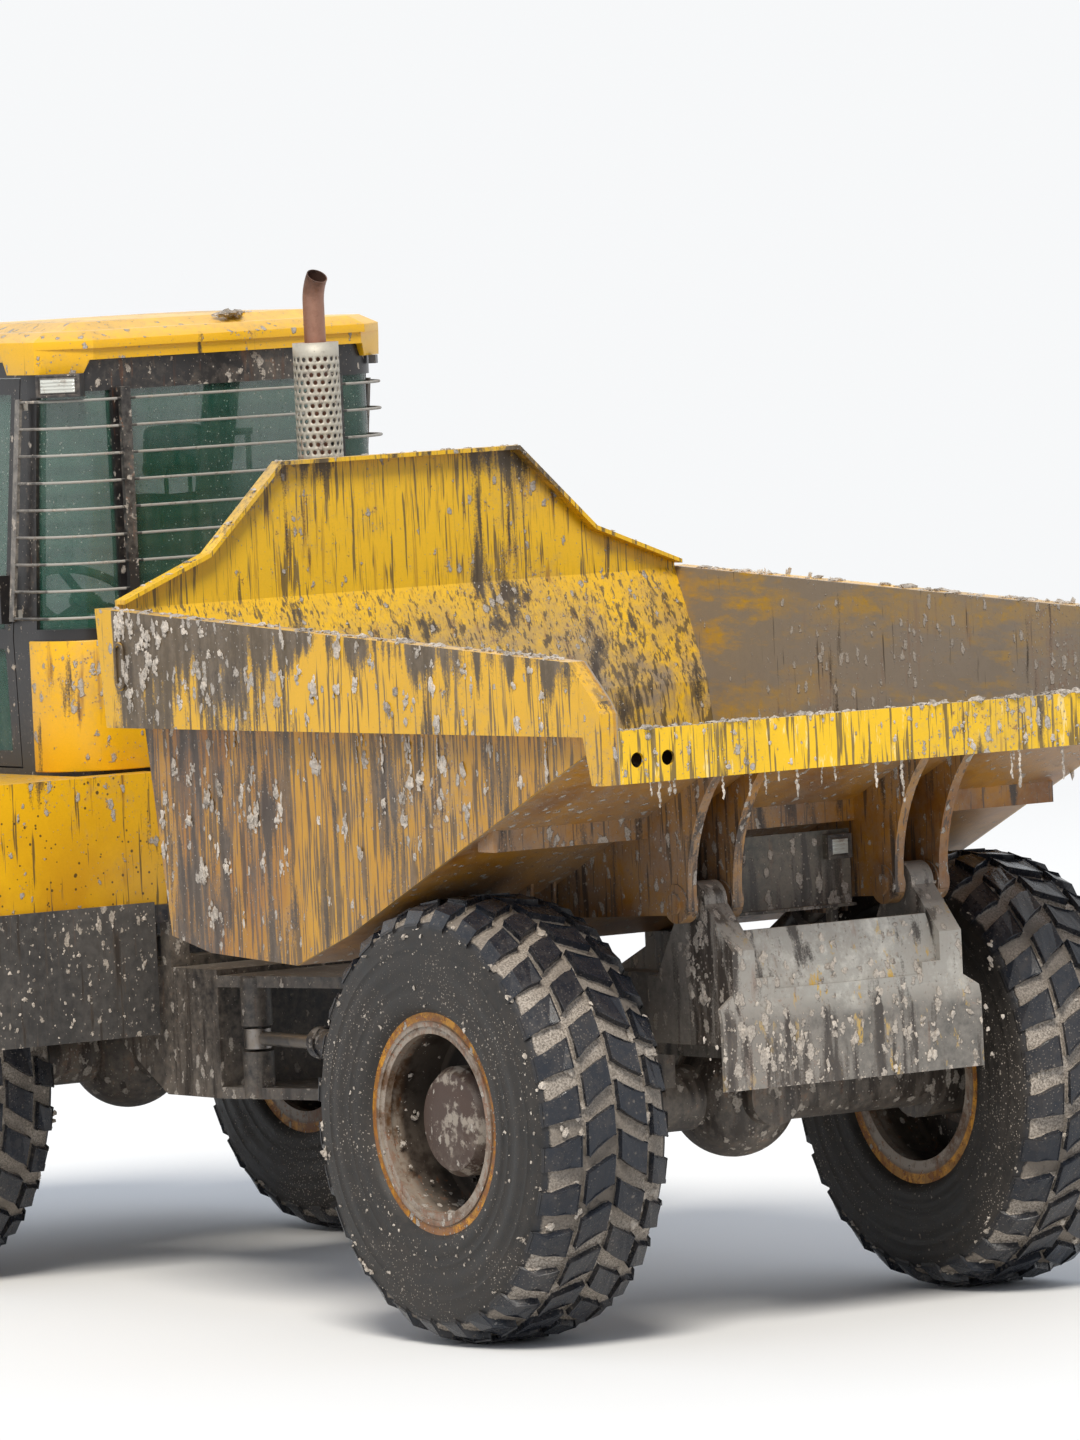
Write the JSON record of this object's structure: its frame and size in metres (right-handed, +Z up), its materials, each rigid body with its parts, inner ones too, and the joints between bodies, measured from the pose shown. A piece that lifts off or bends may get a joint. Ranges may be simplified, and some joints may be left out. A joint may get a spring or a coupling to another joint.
{
  "type": "articulated dump truck",
  "caption": "Two-axle articulated dump truck with a tipping bed, a centre hitch that steers and rolls, and a cab with a wrapped window guard.",
  "frame": {"origin": "on the ground, at the middle of the truck's overall length and width", "axes": "+X forwards, +Y to the truck's left, +Z up"},
  "size_m": [6.55, 2.47, 3.5056],
  "materials": {
    "black_frame": "satin black paint, dusty",
    "grey_frame": "grey paint under dried mud",
    "yellow_body": "yellow paint, streaked with mud and rust",
    "yellow_moulding": "yellow moulded plastic",
    "rusty_rim": "worn yellow paint with rust",
    "axle_iron": "muddy casting",
    "engine_iron": "plain block",
    "tyre_rubber": "block tread",
    "flap_rubber": "mud flap",
    "cab_glass": "green tint",
    "guard_steel": "thin dusty rods",
    "seat_fabric": "woven cover",
    "dash_plastic": "dark plastic",
    "lamp_body": "lamp housings and lenses",
    "exhaust_steel": "heat tinted and rusty",
    "shield_steel": "pale perforated sheet",
    "rod_chrome": "hard chrome",
    "barrel_paint": "dark paint"
  },
  "bodies": {
    "rear_chassis": {"rear_frame": "grey_frame", "rear_axle": "axle_iron", "lamp_board": "black_frame"},
    "hitch": {"hitch": "grey_frame"},
    "front_chassis": {"front_frame": "black_frame", "front_axle": "axle_iron", "engine": "engine_iron", "grille": "black_frame", "front_bumper": "black_frame", "fenders": "yellow_body", "mudflaps": "flap_rubber", "steps": "black_frame", "cab_frame": "black_frame", "cab_panels": "yellow_moulding", "cab_roof": "yellow_moulding", "cab_windows": "cab_glass", "window_guard": "guard_steel", "seat": "seat_fabric", "dashboard": "dash_plastic", "mirrors": "dash_plastic", "lamps": "lamp_body", "exhaust_pipe": "exhaust_steel", "exhaust_shield": "shield_steel"},
    "bonnet": {"bonnet": "yellow_moulding"},
    "left_door": {"left_door": "black_frame", "left_door_glass": "cab_glass"},
    "bed": {"bed_floor": "yellow_body", "bed_sides": "yellow_body", "headboard": "yellow_body"},
    "steering_barrel_left": {"steering_barrel_left": "barrel_paint"},
    "steering_rod_left": {"steering_rod_left": "rod_chrome"},
    "tipping_barrel_left": {"tipping_barrel_left": "barrel_paint"},
    "tipping_rod_left": {"tipping_rod_left": "rod_chrome"},
    "wheel_front_left": {"tyre_front_left": "tyre_rubber", "rim_front_left": "rusty_rim"},
    "wheel_rear_left": {"tyre_rear_left": "tyre_rubber", "rim_rear_left": "rusty_rim"},
    "steering_barrel_right": {"steering_barrel_right": "barrel_paint"},
    "steering_rod_right": {"steering_rod_right": "rod_chrome"},
    "tipping_barrel_right": {"tipping_barrel_right": "barrel_paint"},
    "tipping_rod_right": {"tipping_rod_right": "rod_chrome"},
    "wheel_front_right": {"tyre_front_right": "tyre_rubber", "rim_front_right": "rusty_rim"},
    "wheel_rear_right": {"tyre_rear_right": "tyre_rubber", "rim_rear_right": "rusty_rim"}
  },
  "joints": [
    {"name": "roll", "type": "hinge", "parent": "rear_chassis", "child": "hitch", "pos_m": [-0.575, 0, 0.85], "axis": [1, 0, 0], "range_deg": [-15, 15]},
    {"name": "steer", "type": "hinge", "parent": "hitch", "child": "front_chassis", "pos_m": [-0.575, 0, 0.85], "axis": [0, 0, 1], "range_deg": [-40, 40]},
    {"name": "tip", "type": "hinge", "parent": "rear_chassis", "child": "bed", "pos_m": [-2.655, 0, 1.42], "axis": [0, -1, 0], "range_deg": [0, 65]},
    {"name": "bonnet_hinge", "type": "hinge", "parent": "front_chassis", "child": "bonnet", "pos_m": [2.093, 0, 2.122], "axis": [0, -1, 0], "range_deg": [0, 45]},
    {"name": "left_door_hinge", "type": "hinge", "parent": "front_chassis", "child": "left_door", "pos_m": [1.954, 0.718, 1.9], "axis": [0, 0, -1], "range_deg": [0, 80]},
    {"name": "steering_barrel_left_turn", "type": "hinge", "parent": "hitch", "child": "steering_barrel_left", "pos_m": [-0.825, 0.33, 0.85], "axis": [0, 0, 1], "range_deg": [-33, 33]},
    {"name": "steering_rod_left_stroke", "type": "slide", "parent": "steering_barrel_left", "child": "steering_rod_left", "axis": [1, 0, 0], "range_m": [-0.23, 0.23]},
    {"name": "tipping_barrel_left_turn", "type": "hinge", "parent": "rear_chassis", "child": "tipping_barrel_left", "pos_m": [-1.025, 0.6, 0.8], "axis": [0, -1, 0], "range_deg": [-16, 0]},
    {"name": "tipping_rod_left_stroke", "type": "slide", "parent": "tipping_barrel_left", "child": "tipping_rod_left", "axis": [-0.8617, 0, 0.5074], "range_m": [0, 0.72]},
    {"name": "steering_barrel_right_turn", "type": "hinge", "parent": "hitch", "child": "steering_barrel_right", "pos_m": [-0.825, -0.33, 0.85], "axis": [0, 0, 1], "range_deg": [-33, 33]},
    {"name": "steering_rod_right_stroke", "type": "slide", "parent": "steering_barrel_right", "child": "steering_rod_right", "axis": [1, 0, 0], "range_m": [-0.23, 0.23]},
    {"name": "tipping_barrel_right_turn", "type": "hinge", "parent": "rear_chassis", "child": "tipping_barrel_right", "pos_m": [-1.025, -0.6, 0.8], "axis": [0, -1, 0], "range_deg": [-16, 0]},
    {"name": "tipping_rod_right_stroke", "type": "slide", "parent": "tipping_barrel_right", "child": "tipping_rod_right", "axis": [-0.8617, 0, 0.5074], "range_m": [0, 0.72]},
    {"name": "wheel_front_left_turn", "type": "hinge", "parent": "front_chassis", "child": "wheel_front_left", "pos_m": [1.575, 0.975, 0.735], "axis": [0, 1, 0], "continuous": true},
    {"name": "wheel_front_right_turn", "type": "hinge", "parent": "front_chassis", "child": "wheel_front_right", "pos_m": [1.575, -0.975, 0.735], "axis": [0, 1, 0], "continuous": true},
    {"name": "wheel_rear_left_turn", "type": "hinge", "parent": "rear_chassis", "child": "wheel_rear_left", "pos_m": [-2.175, 0.975, 0.735], "axis": [0, 1, 0], "continuous": true},
    {"name": "wheel_rear_right_turn", "type": "hinge", "parent": "rear_chassis", "child": "wheel_rear_right", "pos_m": [-2.175, -0.975, 0.735], "axis": [0, 1, 0], "continuous": true}
  ],
  "couplings": [
    {"joint": "steering_barrel_left_turn", "follows": "steer", "ratio": 0.77951},
    {"joint": "steering_rod_left_stroke", "follows": "steer", "m_per_rad": -0.31752},
    {"joint": "tipping_barrel_left_turn", "follows": "tip", "ratio": -0.22447},
    {"joint": "tipping_rod_left_stroke", "follows": "tip", "m_per_rad": 0.62729},
    {"joint": "steering_barrel_right_turn", "follows": "steer", "ratio": 0.77951},
    {"joint": "steering_rod_right_stroke", "follows": "steer", "m_per_rad": 0.31752},
    {"joint": "tipping_barrel_right_turn", "follows": "tip", "ratio": -0.22447},
    {"joint": "tipping_rod_right_stroke", "follows": "tip", "m_per_rad": 0.62729}
  ]
}
